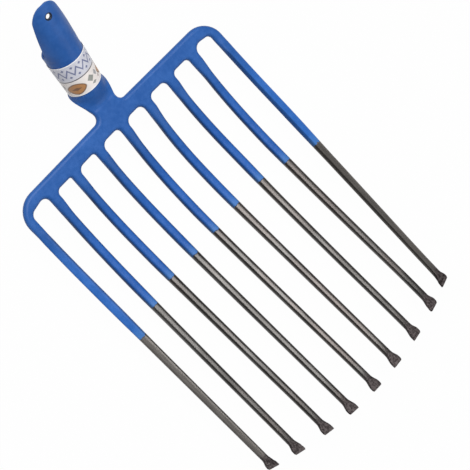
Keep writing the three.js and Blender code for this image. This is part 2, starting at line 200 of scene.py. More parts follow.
# The sheet's columns, as shares of its half width: even ones but for the last in the tube,
# and spread over the flat in the neck. The rows in COLUMN_CHANGE go from one to the other
HALF_COLUMNS = 20
BESIDE_EDGE = 0.978
NECK_FLAT = 0.685
NECK_EDGE = [0.85, 1.006]
COLUMN_CHANGE = (4, 9)
# How much of the thickness is left at the sheet's edge and next to it
NECK_EDGE_THICK = 0.53
EDGE_THICK = 0.86
NECK_BESIDE_THICK = 0.97

# Label, along the socket's axis
LABEL_START = 16.2
LABEL_END = 59.8
LABEL_RADIUS = 21.5
LABEL_COLUMNS = 120
LABEL_ROWS = 14
LABEL_AIR = 0.38
LABEL_FILM = 0.22
# How much further than half round each end goes, and how far the upper end is lifted
LAP_TURN = 1.012
LAP_LIFT = 0.3
LAP_START = (0.93, 0.99)

# Its print, in millimetres from its lower edge. The repeats are whole ones round the label
LENS_PITCH = 2 * math.pi * LABEL_RADIUS / 3
ZIGZAG_PITCH = 2 * math.pi * LABEL_RADIUS / 13
ZIGZAG_LEVEL = 33
ZIGZAG_SWING = 4.2
ZIGZAG_THICK = 3.0
DOT = (1.9, 1.7)
DOT_ROWS = [(0, 38.6), (ZIGZAG_PITCH / 2, 27.2)]
RING = (21.4, 22.6)
PAPER_CHANGE = (21, 24)
LOWER_RIM = (1.4, 0.8)
UPPER_RIM = (42.2, 42.8)
# Lenses and lozenges: shift round the label, level, half width, half height, fullness, colour
PRINTS = [
    (18, 10.0, 12.2, 7.7, 1.6, (0.16, 0.09, 0.05)),
    (18, 10.0, 10.8, 6.4, 1.6, (0.43, 0.21, 0.085)),
    (18, 10.0, 6.6, 2.1, 1.0, (0.20, 0.11, 0.06)),
    (43, 13.0, 4.8, 4.8, 1.0, (0.27, 0.28, 0.26)),
    (41, 5.6, 3.6, 1.9, 1.0, (0.30, 0.31, 0.30)),
    (34, 13.4, 2.8, 4.0, 1.0, (0.36, 0.36, 0.37)),
    (31, 6.4, 2.4, 2.4, 1.0, (0.52, 0.44, 0.42)),
]
PRINT_SOFT = 0.12
PAPER_CREAM = (0.78, 0.72, 0.68)
PAPER_LAVENDER = (0.52, 0.53, 0.61)
PAPER_WORN = (0.80, 0.78, 0.79)
PAPER_EDGE = (0.86, 0.85, 0.85)
INK = (0.17, 0.19, 0.31)
RING_INK = (0.07, 0.075, 0.10)

# Colours as a paint shop would mix them, in linear light
ENAMEL_DEEP = (0.018, 0.085, 0.30)
ENAMEL_LIGHT = (0.027, 0.106, 0.35)
# Painted highlight: the lighter blue laid on the tines' enamel before its end
ENAMEL_PAINTED_HIGHLIGHT = (0.075, 0.21, 0.47)
# Painted shade: a dark ring over the screw hole's countersink and wall, and how far out it reaches
HOLE_PAINTED_SHADE = (0.006, 0.012, 0.03)
PAINTED_SHADE_RING = (5.0 * MM, 4.3 * MM)
STEEL_DARK = (0.088, 0.084, 0.080)
STEEL_LIGHT = (0.132, 0.127, 0.122)
STEEL_BROWN = (0.125, 0.107, 0.10)
MATTE_STEEL = (0.39, 0.362, 0.335)
BLADE_DARK = (0.045, 0.037, 0.038)
BLADE_LIGHT = (0.132, 0.112, 0.112)
# Painted light: the enamel is coloured bluer down the inner tines and lighter down the outer ones
# than on the bar, and the distances from the seam over which this sets in
TINE_PAINTED_LIGHT = (0.76, 1.0, 1.10)
OUTER_PAINTED_LIGHT = (1.30, 1.34, 1.33)
PAINTED_LIGHT_START = (10, 80)
# Painted shade on the tines' upright sides: how much of its brightness such a side keeps, for most
# tines and the outer ones, and the distances from the seam over which it sets in
ENAMEL_PAINTED_SHADE = (0.44, 0.6)
STEEL_PAINTED_SHADE = (0.7, 0.36)
PAINTED_SHADE_START = (2, 30)

# Gloss, and how deep each finish's surface goes, in millimetres
ENAMEL_ROUGH = (0.34, 0.44)
STEEL_ROUGH = (0.25, 0.32)
MATTE_MORE = 0.1
BLADE_ROUGH = 0.5
PEEL_DEPTH = 0.03
FORGED_DEPTH = 0.5
STREAK_DEPTH = 0.015
GRAIN_DEPTH = 0.25
COAT_STEP = -0.12
CREASE_DEPTH = 0.35
# Painted highlight: where the enamel turns a lighter blue before its end, and how far; how
# ragged its end is, and where the blades' own finish sets in
PAINTED_HIGHLIGHT_SPAN = (-16, 0, 0, 0.5)
RAGGED = 4
BLADE_FINISH = (26, 12)

# Lamps: where they hang, how wide they are and how bright. FILL is the light from all round
LAMP = (0.0, 0.95, 2.75)
LAMP_SIZE = 2.6
LAMP_LEVEL = 4.3
FRONT_LAMP = (0.9, -2.4, 1.5)
FRONT_SIZE = 1.6
FRONT_LEVEL = 1.4
FILL = 0.18

# The floor stands just clear of the head. It looks this bright, and is lit as a plain grey
FLOOR_SIZE = 200
FLOOR_LEVEL = -0.0006
FLOOR_WHITE = 0.98
FLOOR_GREY = (0.5, 0.5, 0.5)

# Camera, in the bench's metres: its place and the way its right, top and back face. Its lens
# and sensor are in millimetres
CAMERA = (-1.06636380, 0.38742719, 3.47279820)
CAMERA_RIGHT = Vector((0.65929711, -0.69247914, 0.29291632))
CAMERA_UP = Vector((0.69159925, 0.71136846, 0.12508157))
CAMERA_BACK = Vector((-0.29498781, 0.12011479, 0.94792122))
LENS = 254.853463
SENSOR = 36
SIGHT = 50

# Faces that meet at less than this look smooth
SMOOTH_BELOW = math.radians(35)


# ---------------------------------------------------------------- bench tools

def clear_selection():
    bpy.ops.object.select_all(action="DESELECT")


def take(obj):
    """Makes obj the only selected and the active one."""
    clear_selection()
    obj.select_set(True)
    bpy.context.view_layer.objects.active = obj


def open_mesh(obj):
    take(obj)
    bpy.ops.object.mode_set(mode="EDIT")


def close_mesh():
    bpy.ops.object.mode_set(mode="OBJECT")


def pick(kind, test):
    """Selects, in edit mode, the vertices, edges or faces that pass the test."""
    bpy.ops.mesh.select_mode(type=kind)
    bpy.ops.mesh.select_all(action="DESELECT")
    data = bpy.context.edit_object.data
    mesh = bmesh.from_edit_mesh(data)
    mesh.normal_update()
    for part in {"VERT": mesh.verts, "EDGE": mesh.edges, "FACE": mesh.faces}[kind]:
        if test(part):
            part.select_set(True)
    mesh.select_flush_mode()
    bmesh.update_edit_mesh(data)


def pick_all():
    bpy.ops.mesh.select_all(action="SELECT")


def middle(part):
    return sum((v.co for v in part.verts), Vector()) / len(part.verts)


def near(value, target, slack=0.05 * MM):
    return abs(value - target) < slack


def upright_edge_at(x, y):
    """A test for the upright edge of a plate that stands at x, y."""
    return lambda edge: all(
        near(v.co.x, x * MM) and near(v.co.y, y * MM) for v in edge.verts
    )


def settle(obj):
    """Leaves the place, turn and size in the mesh, with the object at the origin."""
    take(obj)
    bpy.ops.object.transform_apply(location=True, rotation=True, scale=True)


def finish_modifiers(obj):
    take(obj)
    for modifier in list(obj.modifiers):
        bpy.ops.object.modifier_apply(modifier=modifier.name)


def block(name, low, high):
    """A plain block of stock or a cutter between two corners, in millimetres."""
    clear_selection()
    low, high = Vector(low) * MM, Vector(high) * MM
    bpy.ops.mesh.primitive_cube_add(size=1, location=(low + high) / 2, scale=high - low)
    obj = bpy.context.active_object
    obj.name = obj.data.name = name
    settle(obj)
    return obj


def cut(obj, cutter):
    """Cuts obj with a cutter and throws the cutter away."""
    boolean = obj.modifiers.new("cut", "BOOLEAN")
    boolean.operation = "DIFFERENCE"
    boolean.solver = "EXACT"
    boolean.object = cutter
    finish_modifiers(obj)
    bpy.data.objects.remove(cutter)


def join(first, *others):
    take(first)
    for other in others:
        other.select_set(True)
    bpy.ops.object.join()
    return first


def saw(y, keep_lower):
    """Cuts the open mesh square across Y, in millimetres, and closes the cut."""
    pick_all()
    bpy.ops.mesh.bisect(
        plane_co=(0, y * MM, 0),
        plane_no=(0, 1, 0),
        use_fill=True,
        clear_outer=keep_lower,
        clear_inner=not keep_lower,
    )


def smooth_line(knots, count):
    """Places spaced evenly along a smooth line through the knots (centripetal spline)."""
    steps = 40
    knots = [knots[0] * 2 - knots[1], *knots, knots[-1] * 2 - knots[-2]]
    fine = []
    for i in range(1, len(knots) - 2):
        a, b, c, d = knots[i - 1 : i + 3]
        gaps = [max((q - p).length ** 0.5, 1e-4) for p, q in ((a, b), (b, c), (c, d))]
        t0, t1, t2 = gaps
        out = ((b - a) / t0 - (c - a) / (t0 + t1) + (c - b) / t1) * t1
        back = ((c - b) / t1 - (d - b) / (t1 + t2) + (d - c) / t2) * t1
        for step in range(steps):
            t = step / steps
            h = 2 * t**3 - 3 * t**2 + 1, t**3 - 2 * t**2 + t, 3 * t**2 - 2 * t**3, t**3 - t**2
            fine.append(b * h[0] + out * h[1] + c * h[2] + back * h[3])
    fine.append(knots[-2])
    lengths = [0]
    for p, q in zip(fine, fine[1:]):
        lengths.append(lengths[-1] + (q - p).length)
    places = []
    at = 0
    for i in range(count):
        want = lengths[-1] * i / (count - 1)
        while at < len(fine) - 2 and lengths[at + 1] < want:
            at += 1
        span = max(lengths[at + 1] - lengths[at], 1e-9)
        places.append(fine[at].lerp(fine[at + 1], min((want - lengths[at]) / span, 1)))
    return places


def ease(value, low, high):
    """A soft step from 0 at low to 1 at high."""
    t = min(max((value - low) / (high - low), 0), 1)
    return t * t * (3 - 2 * t)


def mix(a, b, t):
    return a + (b - a) * t


# ---------------------------------------------------------------- crossbar

def root_side(number, side):
    """Where the left (-1) or right (1) side of a tine's root is along the crossbar."""
    middle_x = (number - 1) * PITCH - HALF_SPAN + SWAYS[number - 1][0]
    return middle_x + side * ROOT_WIDTHS[number - 1] / 2


def make_crossbar():
    """Plate with square slots and notches cut in it, its corners and edges then rounded."""
    edge = root_side(TINES, 1)
    neck = NECK_WIDTH / 2
    low, high = TINE_SEAM - SPARE, NECK_SEAM + SPARE
    half = BAR_THICKNESS / 2
    bar = block("crossbar_enamelled", (-edge, low, -half), (edge, high, half))
    deep = BAR_THICKNESS
    cutters = []
    corners = []
    moves = []
    for slot, (left_end, right_end, left_round, right_round) in enumerate(SLOT_ENDS, 1):
        left, right = root_side(slot, 1), root_side(slot + 1, -1)
        end = max(left_end, right_end)
        cutters.append(block("slot_cutter", (left, low - SPARE, -deep), (right, end, deep)))
        moves += [(left, end, left_end - end), (right, end, right_end - end)]
        corners += [(left, left_end, left_round), (right, right_end, right_round)]
    for side in (-1, 1):
        ends = sorted((side * neck, side * (edge + SPARE)))
        cutters.append(
            block("notch_cutter", (ends[0], BAR_WIDTH, -deep), (ends[1], high + SPARE, deep))
        )
        corners.append((side * neck, BAR_WIDTH, NECK_FILLET))
        corners.append((side * edge, BAR_WIDTH - BAR_END_DROP, SHOULDER))
    cut(bar, join(*cutters))
    open_mesh(bar)
    pick_all()
    bpy.ops.mesh.remove_doubles(threshold=0.001 * MM)
    bpy.ops.mesh.dissolve_limited(angle_limit=math.radians(1))
    moves += [(side * edge, BAR_WIDTH, -BAR_END_DROP) for side in (-1, 1)]
    for x, y, shift in moves:
        pick("EDGE", upright_edge_at(x, y))
        bpy.ops.transform.translate(value=(0, shift * MM, 0))
    for x, y, radius in corners:
        pick("EDGE", upright_edge_at(x, y))
        bpy.ops.mesh.bevel(offset=radius * MM, segments=CORNER_STEPS, clamp_overlap=False)
    pick(
        "EDGE",
        lambda e: near(abs(middle(e).z), half * MM) and near(e.verts[0].co.z, e.verts[1].co.z),
    )
    bpy.ops.mesh.bevel(offset=EDGE_ROUND * MM, segments=EDGE_STEPS, clamp_overlap=False)
    large = 1000 * MM * MM
    pick("FACE", lambda f: abs(f.normal.z) > 0.999 and f.calc_area() > large)
    bpy.ops.mesh.inset(thickness=FLAT_RIM * MM, use_boundary=True)
    close_mesh()
    bar.rotation_euler = (BAR_TILT, 0, 0)
    settle(bar)
    open_mesh(bar)
    saw(TINE_SEAM, keep_lower=False)
    saw(NECK_SEAM, keep_lower=True)
    close_mesh()
    return bar


# ---------------------------------------------------------------- tines

def sway_at(number, along):
    """How far a tine is off its straight line at a share of its length."""
    sways = SWAYS[number - 1]
    far = next(i for i in range(1, len(SWAY_SHARES)) if along <= SWAY_SHARES[i])
    low, high = SWAY_SHARES[far - 1], SWAY_SHARES[far]
    return mix(sways[far - 1], sways[far], (along - low) / (high - low))


def shaft_height(x, length):
    """A shaft's height at a distance from the seam."""
    return mix(SHAFT, SHAFT_END, ease(x / length, *SHAFT_TAPER))


def shaft_width(x, length):
    """A shaft's width at a distance from the seam: its height, and more where it is dipped."""
    return shaft_height(x, length) + COAT * (1 - ease(x, *COAT_ENDS))


def blade_share(rest):
    """How far the shaft has turned into the blade, at a distance from the blade's edge."""
    return 1 - ease(rest, BLADE_LENGTH * BLADE_PARALLEL, BLADE_LENGTH)


def tine_place(number):
    """The knots of a tine's centre line, its blade's trim angle and whether it is an outer one."""
    place = number - (TINES + 1) / 2
    rank = int(abs(place))
    outer = rank == (TINES - 1) // 2
    root_x = place * PITCH
    tip_x = root_x - (math.copysign(OUTER_LEAN, place) if outer else 0)
    reach = REACH - (TIP_ARC - math.sqrt(TIP_ARC**2 - tip_x**2))
    depth = BELLY * BELLY_SHARES[rank]
    tip_z = -TIP_DROP * (rank / ((TINES - 1) / 2)) ** 2
    slope = math.tan(BAR_TILT)
    start = Vector((root_x + sway_at(number, 0), TINE_SEAM, TINE_SEAM * slope))
    length = reach + TINE_SEAM
    lead = Vector((0, -SEAM_LEAD, -SEAM_LEAD * slope))
    knots = [start - lead, start, start + lead]
    for along, deep in BELLY_PROFILE:
        z = mix(start.z, tip_z + start.z, along) - depth * deep
        x = mix(root_x, tip_x, along) + sway_at(number, along)
        knots.append(Vector((x, TINE_SEAM - length * along, z)))
    return knots, math.asin(tip_x / TIP_ARC), outer


def ring_at(x):
    """A test for the points of a straight blank at a distance along it."""
    return lambda vert: near(vert.co.x, x * MM, ROW_SLACK * MM)


def make_blank(length, root_width):
    """A straight tine: the seam at X 0, the blade's edge at X length, round in between."""
    blank = block(
        "tine_blank",
        (-INTO_BAR, -root_width / 2, -BAR_THICKNESS / 2),
        (0, root_width / 2, BAR_THICKNESS / 2),
    )
    open_mesh(blank)
    pick("EDGE", lambda e: abs(e.verts[0].co.x - e.verts[1].co.x) > 1 * MM)
    bpy.ops.mesh.bevel(offset=EDGE_ROUND * MM, segments=BLANK_STEPS, clamp_overlap=False)
    stations = list(ROOT_ROWS)
    while stations[-1] + SHAFT_STEP < length - SHAFT_ROWS_END:
        stations.append(stations[-1] + SHAFT_STEP)
    stations += [length - rest for rest in DRAWN_ROWS]
    width, height = root_width, BAR_THICKNESS
    at = 0
    for x in stations:
        root = 1 - ease(x, 0, ROOT_BLEND)
        thin = 1 - ease(length - x, 0, BLADE_DRAW)
        new_width = mix(shaft_width(x, length), root_width, root)
        new_height = mix(shaft_height(x, length), BAR_THICKNESS, root)
        new_height = mix(new_height, BLADE_THICKNESS, thin)
        pick("FACE", lambda f: near(middle(f).x, at * MM) and f.normal.x > 0.9)
        bpy.ops.mesh.extrude_region_move(
            TRANSFORM_OT_translate={"value": ((x - at) * MM, 0, 0)}
        )
        bpy.ops.transform.resize(
            value=(1, new_width / width, new_height / height),
            center_override=(x * MM, 0, 0),
        )
        width, height, at = new_width, new_height, x
    for x in stations[-len(DRAWN_ROWS):]:
        rest = length - x
        blade = blade_share(rest)
        if blade <= 0:
            continue
        corner = BLADE_CORNER * (1 - ease(rest, 0, BLADE_CORNER_LENGTH))
        full = mix(SHAFT_END, BLADE_WIDTH, blade) - corner
        round_width = mix(SHAFT_END, BLADE_THICKNESS * BLADE_SIDES, blade)
        pick("VERT", ring_at(x))
        bpy.ops.transform.resize(
            value=(1, round_width / SHAFT_END, 1), center_override=(x * MM, 0, 0)
        )
        for side in (-1, 1):
            pick("VERT", lambda v: ring_at(x)(v) and v.co.y * side > 0)
            bpy.ops.transform.translate(value=(0, side * (full - round_width) / 2 * MM, 0))
    close_mesh()
    return blank


def centre_line(name, places):
    """A curve through the places, as the jig that a blank is bent over."""
    clear_selection()
    bpy.ops.curve.primitive_nurbs_path_add()
    jig = bpy.context.active_object
    jig.name = name
    jig.data.splines.clear()
    spline = jig.data.splines.new("POLY")
    spline.points.add(len(places) - 1)
    for point, place in zip(spline.points, places):
        point.co = (*(place * MM), 1)
    jig.data.dimensions = "3D"
    jig.data.twist_mode = "Z_UP"
    return jig


def line_length(places):
    return sum((q - p).length for p, q in zip(places, places[1:]))


def skew_blade(blank, length, trim):
    """Turns the blade's rows so that its edge follows the arc that the tips end on."""
    open_mesh(blank)
    for rest in BLADE_ROWS:
        turn = trim * blade_share(rest)
        pick("VERT", ring_at(length - rest))
        mesh = bmesh.from_edit_mesh(blank.data)
        for vert in mesh.verts:
            if vert.select:
                vert.co.x -= vert.co.y * math.tan(turn)
        bmesh.update_edit_mesh(blank.data)
    close_mesh()


def square_up(blank, length, side):
    """Gives an outer tine's shaft its flatter, squarish section and rolls it outwards."""
    open_mesh(blank)
    stations = sorted({round(v.co.x / MM, 1) for v in blank.data.vertices})
    for x in stations:
        root = 1 - ease(x, 0, ROOT_BLEND)
        squared = (1 - root) * ease(length - x, 0, BLADE_DRAW)
        if squared <= 0:
            continue
        wide = shaft_width(x, length) / 2 * OUTER_WIDE
        thin = shaft_width(x, length) / 2 * OUTER_THIN
        pick("VERT", ring_at(x))
        mesh = bmesh.from_edit_mesh(blank.data)
        for vert in mesh.verts:
            if vert.select:
                ring = Vector((vert.co.y, vert.co.z))
                turn = math.atan2(ring.y, ring.x)
                across = abs(math.cos(turn) / wide) ** OUTER_SQUARENESS
                upright = abs(math.sin(turn) / thin) ** OUTER_SQUARENESS
                target = (across + upright) ** (-1 / OUTER_SQUARENESS) * MM
                ring = ring.normalized() * mix(ring.length, target, squared)
                vert.co.y, vert.co.z = ring
        bmesh.update_edit_mesh(blank.data)
        bpy.ops.transform.rotate(
            value=OUTER_ROLL * squared * side,
            orient_axis="X",
            center_override=(x * MM, 0, 0),
        )
    close_mesh()


def write_distances(obj, knots, number):
    """Keeps, for the finish, each point's distance from seam, paint's end and tip, and how
    squarely it faces the way from which the painted shade on the tines' sides is measured."""
    tip = knots[-1]
    trim = tip.x / TIP_ARC
    kept = {"past_seam": [], "past_paint": [], "to_tip": [], "painted_shade_facing": []}
    facing = Vector((OUTER_PAINTED_SHADE_FACING.get(number, 0), 0, 1)).normalized()
    for vert in obj.data.vertices:
        place = vert.co / MM
        kept["past_seam"].append(TINE_SEAM - place.y)
        kept["past_paint"].append(PAINT_END[number - 1] - place.y)
        kept["to_tip"].append(place.y - tip.y - (place.x - tip.x) * trim)
        kept["painted_shade_facing"].append(abs(vert.normal.dot(facing)))
    for name, values in kept.items():
        layer = obj.data.attributes.new(name, "FLOAT", "POINT")
        layer.data.foreach_set("value", values)


def make_tine(number):
    knots, trim, outer = tine_place(number)
    places = smooth_line(knots, LINE_POINTS)
    lead = SEAM_LEAD / math.cos(BAR_TILT)
    length = line_length(places) - lead
    blank = make_blank(length, ROOT_WIDTHS[number - 1])
    blank.name = blank.data.name = f"tine_{number}_dipped"
    if outer:
        square_up(blank, length, -1 if number == 1 else 1)
    skew_blade(blank, length, trim)
    open_mesh(blank)
    pick_all()
    bpy.ops.transform.translate(value=(lead * MM, 0, 0))
    close_mesh()
    jig = centre_line("tine_jig", places)
    bend = blank.modifiers.new("bend", "CURVE")
    bend.object = jig
    bend.deform_axis = "POS_X"
    finish_modifiers(blank)
    bpy.data.objects.remove(jig)
    open_mesh(blank)
    saw(TINE_SEAM, keep_lower=True)
    close_mesh()
    write_distances(blank, knots, number)
    return blank


# ---------------------------------------------------------------- socket and label

def socket_radius(station):
    return RADIUS + FLARE * station


def on_axis(station, height):
    """A place above the socket's axis, at a station along it."""
    return AXIS_START + ALONG * station + SQUARE * height


def tongue_half_angle(station):
    """Half the tongue's spread: a fillet at the mouth, a straight taper, then a round end."""
    radius = socket_radius(station)
    past = station - MOUTH
    corner = max(0, TONGUE_FILLET - past)
    fillet = TONGUE_FILLET - math.sqrt(TONGUE_FILLET**2 - corner**2)
    height = TONGUE_ROOT + TONGUE_SLOPE * past - fillet
    side = math.acos(max(-1, min(1, height / radius)))
    if station <= TONGUE_SHOULDER:
        return side
    turn = (station - TONGUE_SHOULDER) / (TONGUE_TIP - TONGUE_SHOULDER)
    half = TONGUE_WIDTH / 2 * math.sqrt(max(0, 1 - turn**2))
    return min(side, math.asin(half / radius))


def socket_rows():
    """Rows of the flat sheet: top point, upward direction, half width, roll and thickness."""
    slope = math.tan(BAR_TILT)
    seam_top = NECK_SEAM * slope + BAR_THICKNESS / 2 / math.cos(BAR_TILT)
    flat_end = Vector((0, NECK_SEAM + NECK_FLAT_END, seam_top + NECK_FLAT_END * slope))
    landing = TUBE_START * NECK_LANDING
    path = smooth_line(
        [
            Vector((0, NECK_SEAM, seam_top)),
            flat_end,
            on_axis(landing, socket_radius(landing)),
            on_axis(TUBE_START, socket_radius(TUBE_START)),
        ],
        NECK_POINTS + 1,
    )
    half_neck = NECK_WIDTH / 2
    half_tube = socket_radius(TUBE_START) - WALL / 2
    flat_up = Vector((0, -math.sin(BAR_TILT), math.cos(BAR_TILT)))
    rows = []
    for back in NECK_SPARE_ROWS:
        top = Vector((0, NECK_SEAM - back, seam_top - back * slope))
        rows.append((top, flat_up, half_neck, 0, BAR_THICKNESS))
    last = len(NECK_ROLL) - 1
    for i in (0, NECK_EXTRA_ROW, *range(1, last + 1)):
        share = i / last
        at = round(share * NECK_POINTS)
        ahead = path[min(at + 1, NECK_POINTS)] - path[max(at - 1, 0)]
        slope_here = math.atan2(ahead.z, ahead.y)
        turn = mix(BAR_TILT, slope_here, ease(share, *NECK_FOLLOW))
        turn = mix(turn, LIFT, ease(share, *NECK_RISE))
        up = Vector((0, -math.sin(turn), math.cos(turn)))
        low, part = int(i), i - int(i)
        widths, rolls, thicks = NECK_WIDTHS[low], NECK_ROLL[low], NECK_THICKNESS[low]
        if part:
            widths = mix(widths, NECK_WIDTHS[low + 1], part**2)
            rolls = mix(rolls, NECK_ROLL[low + 1], part**2)
            thicks = mix(thicks, NECK_THICKNESS[low + 1], part**2)
        half = mix(half_neck, half_tube, ease(share, *NECK_WIDEN)) * widths
        rows.append((path[at], up, half, rolls, BAR_THICKNESS * thicks))
    return rows


def roll_place(row, share, lift):
    """Where a column of a row comes to lie once it is bent, on one face of the sheet."""
    top, up, half, roll, thick = row
    angle = max(math.radians(roll), 1e-3)
    radius = half / math.sin(angle) if angle < math.pi / 2 else half
    bend = share * angle
    rise = lift * thick / 2
    height = math.cos(bend) * (radius + rise) - radius - thick / 2
    place = top + up * height
    place.x = math.sin(bend) * (radius + rise)
    return place


def make_socket():
    """One sheet, cut out flat with its tongue, then rolled row by row into the tube."""
    rows = []
    even = [i / HALF_COLUMNS for i in range(HALF_COLUMNS + 1)]
    even[-2] = BESIDE_EDGE
    flat = [NECK_FLAT * i / (HALF_COLUMNS - 2) for i in range(HALF_COLUMNS - 1)] + NECK_EDGE
    for i, row in enumerate(socket_rows()):
        blend = ease(i, *COLUMN_CHANGE)
        rows.append((row, [mix(a, b, blend) for a, b in zip(flat, even)], blend))

    def tube_row(station, columns):
        radius = socket_radius(station)
        row = (on_axis(station, radius), SQUARE, radius - WALL / 2, SEAM_ANGLE, WALL)
        return row, columns, 1

    def tongue_columns(angle):
        spread = angle / math.radians(SEAM_ANGLE)
        inner = [spread * share for share in TONGUE_SHARES]
        outside = HALF_COLUMNS - len(inner) + 1
        outer = [mix(spread, 1, (i + 1) / outside) for i in range(outside)]
        outer[-2] = BESIDE_EDGE
        return inner + outer

    for station in TUBE_ROWS:
        rows.append(tube_row(station, even))
    mouth_columns = tongue_columns(tongue_half_angle(MOUTH))
    between = [mix(a, b, BEFORE_MOUTH_SHARE) for a, b in zip(even, mouth_columns)]
    rows.append(tube_row(BEFORE_MOUTH, between))
    rows.append(tube_row(MOUTH - MOUTH_LIP, mouth_columns))
    mouth_row = len(rows)
    rows.append(tube_row(MOUTH, mouth_columns))
    stations = [MOUTH + past for past in TONGUE_ROWS] + [TONGUE_SHOULDER]
    for turn in TIP_TURNS:
        stations.append(mix(TONGUE_SHOULDER, TONGUE_TIP, math.sin(math.radians(turn))))
    for station in stations:
        rows.append(tube_row(station, tongue_columns(tongue_half_angle(station))))

    across = 2 * HALF_COLUMNS
    last_row = len(rows) - 1
    tongue_last = len(TONGUE_SHARES) - 1
    clear_selection()
    bpy.ops.mesh.primitive_grid_add(x_subdivisions=across, y_subdivisions=last_row, size=2)
    sheet = bpy.context.active_object
    sheet.name = sheet.data.name = "socket_rolled"
    open_mesh(sheet)
    pick(
        "FACE",
        lambda face: (middle(face).y + 1) / 2 * last_row > mouth_row
        and abs(middle(face).x) * HALF_COLUMNS > tongue_last,
    )
    bpy.ops.mesh.delete(type="FACE")
    close_mesh()
    marks = [
        (round(v.co.x * HALF_COLUMNS), round((v.co.y + 1) / 2 * last_row))
        for v in sheet.data.vertices
    ]
    thicken = sheet.modifiers.new("thicken", "SOLIDIFY")
    thicken.thickness = WALL * MM
    thicken.offset = 0
    finish_modifiers(sheet)
    count = len(marks)
    face_up = 1 if sheet.data.vertices[0].co.z > sheet.data.vertices[count].co.z else -1
    for vert in sheet.data.vertices:
        column, row_at = marks[vert.index % count]
        side = face_up if vert.index < count else -face_up
        row, columns, tube = rows[row_at]
        past_mouth = row_at > mouth_row
        from_edge = (tongue_last if past_mouth else HALF_COLUMNS) - abs(column)
        at_mouth = row_at == mouth_row and abs(column) > tongue_last
        if from_edge == 0:
            side *= mix(NECK_EDGE_THICK, EDGE_THICK, tube)
        elif row_at == last_row or at_mouth:
            side *= EDGE_THICK
        elif from_edge == 1:
            side *= mix(NECK_BESIDE_THICK, 1, tube)
        share = math.copysign(columns[abs(column)], column)
        vert.co = roll_place(row, share, side) * MM
    smooth = sheet.modifiers.new("smooth", "SUBSURF")
    smooth.levels = smooth.render_levels = 2
    finish_modifiers(sheet)
    open_mesh(sheet)
    pick_all()
    bpy.ops.mesh.normals_make_consistent(inside=False)
    saw(NECK_SEAM, keep_lower=False)
    close_mesh()
    drill_screw_hole(sheet)
    return sheet


def drill_screw_hole(sheet):
    """Drills the tongue and breaks the hole's upper edge with a wider cone."""
    turn = (-SQUARE).to_track_quat("Z", "Y").to_euler()
    radius = socket_radius(HOLE)
    drills = (
        (radius, radius, HOLE_ACROSS, HOLE_ACROSS),
        (radius - SINK_SET, SINK_DEPTH, SINK_WIDE, SINK_NARROW),
    )
    for height, deep, wide, narrow in drills:
        clear_selection()
        bpy.ops.mesh.primitive_cone_add(
            vertices=DRILL_SIDES,
            radius1=wide / 2 * MM,
            radius2=narrow / 2 * MM,
            depth=deep * MM,
            location=on_axis(HOLE, height) * MM,
            rotation=turn,
        )
        cut(sheet, bpy.context.active_object)


def make_label():
    """A thin film wrapped round the socket, with its ends lapped underneath."""
    clear_selection()
    bpy.ops.mesh.primitive_grid_add(
        x_subdivisions=LABEL_COLUMNS, y_subdivisions=LABEL_ROWS, size=2
    )
    label = bpy.context.active_object
    label.name = label.data.name = "label_wrapped"
    uv = label.data.uv_layers.active or label.data.uv_layers.new()
    around = {}
    for vert in label.data.vertices:
        share, level = vert.co.x, (vert.co.y + 1) / 2
        station = mix(LABEL_START, LABEL_END, level)
        turn = math.pi * share * LAP_TURN
        lap = LAP_LIFT * ease(share, *LAP_START)
        radius = socket_radius(station) + LABEL_AIR + lap
        around[vert.index] = (turn * LABEL_RADIUS, station - LABEL_START)
        side = Vector((math.sin(turn) * radius, 0, 0))
        vert.co = (on_axis(station, math.cos(turn) * radius) + side) * MM
    for loop in label.data.loops:
        uv.data[loop.index].uv = around[loop.vertex_index]
    film = label.modifiers.new("film", "SOLIDIFY")
    film.thickness = LABEL_FILM * MM
    film.offset = 1
    finish_modifiers(label)
    open_mesh(label)
    pick_all()
    bpy.ops.mesh.normals_make_consistent(inside=False)
    close_mesh()
    return label


# ---------------------------------------------------------------- finishes

